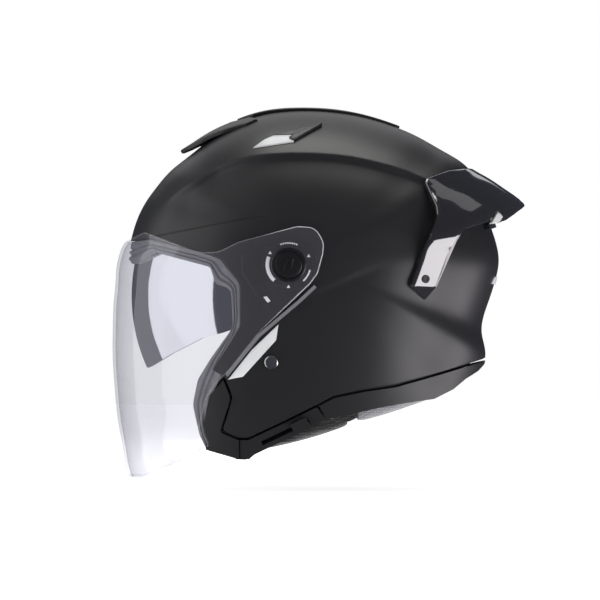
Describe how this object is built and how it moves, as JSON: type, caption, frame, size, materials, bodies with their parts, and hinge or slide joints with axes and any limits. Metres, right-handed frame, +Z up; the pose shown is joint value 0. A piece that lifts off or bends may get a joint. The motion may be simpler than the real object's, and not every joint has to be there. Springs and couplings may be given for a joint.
{
  "type": "open face motorcycle helmet",
  "caption": "Open face helmet with a long clear visor, drop-down mirror sun visor, rear spoiler, foam and fabric lining and a buckled chin strap.",
  "frame": {"origin": "centre of the head cavity, on the helmet's mid-plane", "axes": "-Y is the front of the helmet, +X the wearer's left, +Z up"},
  "size_m": [0.2548, 0.3135, 0.2839],
  "materials": {
    "shell_paint": "soft-touch matt black paint on a moulded composite shell",
    "eps_foam": "moulded bead foam, fine beads",
    "liner_fabric": "brushed knit over thin foam",
    "cheek_fabric": "brushed knit with piped edges",
    "neck_fabric": "grey woven polyester over foam",
    "seal_rubber": "ribbed satin rubber",
    "trim_plastic": "satin black moulded plastic",
    "gloss_plastic": "gloss dark grey plastic",
    "vent_silver": "silver plastic",
    "clear_visor": "clear polycarbonate, faint grey tint",
    "sun_visor_mirror": "silver mirror coating on smoked polycarbonate",
    "pivot_plastic": "black moulded nylon with printed marks",
    "knob_plastic": "semi-gloss black plastic",
    "decal_silver": "satin silver film",
    "rivet_steel": "lacquered steel",
    "screw_steel": "dark zinc steel",
    "cable_black": "smooth sheath",
    "webbing": "woven polyester webbing",
    "buckle_plastic": "moulded nylon",
    "buckle_red": "red moulded lever"
  },
  "bodies": {
    "helmet": {"brow_pad": "liner_fabric", "buckle_body": "buckle_plastic", "buckle_pin": "screw_steel", "buckle_tongue": "buckle_plastic", "cheek_pad_left": "cheek_fabric", "cheek_pad_right": "cheek_fabric", "chin_trim_left": "trim_plastic", "chin_trim_right": "trim_plastic", "crown_fin_left": "gloss_plastic", "crown_fin_right": "gloss_plastic", "crown_liner": "liner_fabric", "crown_ridge": "shell_paint", "crown_vent_left": "vent_silver", "crown_vent_right": "vent_silver", "detent_springs": "screw_steel", "ear_liner_left": "liner_fabric", "ear_liner_right": "liner_fabric", "eps_liner": "eps_foam", "eyeport_gasket": "seal_rubber", "front_scoop": "gloss_plastic", "nape_liner": "liner_fabric", "neck_roll": "neck_fabric", "neck_trim": "trim_plastic", "outer_shell": "shell_paint", "pivot_base_left": "pivot_plastic", "pivot_base_right": "pivot_plastic", "pivot_nuts": "screw_steel", "pivot_screws": "screw_steel", "rear_reflector_left": "vent_silver", "rear_reflector_right": "vent_silver", "rear_vent_grille": "trim_plastic", "rear_vent_trim": "vent_silver", "rivet_washers": "rivet_steel", "scoop_grille": "trim_plastic", "side_decal_left": "decal_silver", "side_decal_right": "decal_silver", "side_trim_left": "trim_plastic", "side_trim_right": "trim_plastic", "slider_rail": "pivot_plastic", "spoiler": "gloss_plastic", "spoiler_screws": "screw_steel", "strap_left": "webbing", "strap_right": "webbing", "strap_rivets": "rivet_steel", "sun_visor_cable": "cable_black", "sun_visor_pins": "screw_steel", "sun_visor_washers": "screw_steel", "visor_bead_left": "seal_rubber", "visor_bead_right": "seal_rubber"},
    "visor": {"visor": "clear_visor"},
    "sun_visor": {"sun_visor": "sun_visor_mirror"},
    "slider": {"sun_visor_slider": "trim_plastic"},
    "top_slider": {"top_vent_slider": "trim_plastic"},
    "knob_left": {"visor_knob_left": "knob_plastic"},
    "knob_right": {"visor_knob_right": "knob_plastic"},
    "buckle_lever": {"buckle_lever": "buckle_red"}
  },
  "joints": [
    {"name": "visor_hinge", "type": "hinge", "parent": "helmet", "child": "visor", "pos_m": [0, -0.0175, -0.0027], "axis": [-1, 0, 0], "range_deg": [0, 58]},
    {"name": "sun_visor_hinge", "type": "hinge", "parent": "helmet", "child": "sun_visor", "pos_m": [0, -0.005, -0.026], "axis": [-1, 0, 0], "range_deg": [0, 36]},
    {"name": "sun_visor_slide", "type": "slide", "parent": "helmet", "child": "slider", "axis": [-0.2069, -0.8805, -0.4265], "range_m": [0, 0.026]},
    {"name": "top_vent_slide", "type": "slide", "parent": "helmet", "child": "top_slider", "axis": [0, 0.9661, 0.258], "range_m": [0, 0.008]},
    {"name": "knob_left_turn", "type": "hinge", "parent": "helmet", "child": "knob_left", "pos_m": [0.123, -0.0175, -0.0027], "axis": [1, 0, 0], "range_deg": [0, 45]},
    {"name": "knob_right_turn", "type": "hinge", "parent": "helmet", "child": "knob_right", "pos_m": [-0.123, -0.0175, -0.0027], "axis": [-1, 0, 0], "range_deg": [0, 45]},
    {"name": "buckle_lever_hinge", "type": "hinge", "parent": "helmet", "child": "buckle_lever", "pos_m": [0.019, -0.031, -0.1266], "axis": [0, 1, 0], "range_deg": [0, 30], "stiffness_Nm_per_rad": 0.05, "springref_deg": -20.05}
  ],
  "couplings": [
    {"joint": "sun_visor_slide", "follows": "sun_visor_hinge", "m_per_rad": 0.0413}
  ]
}
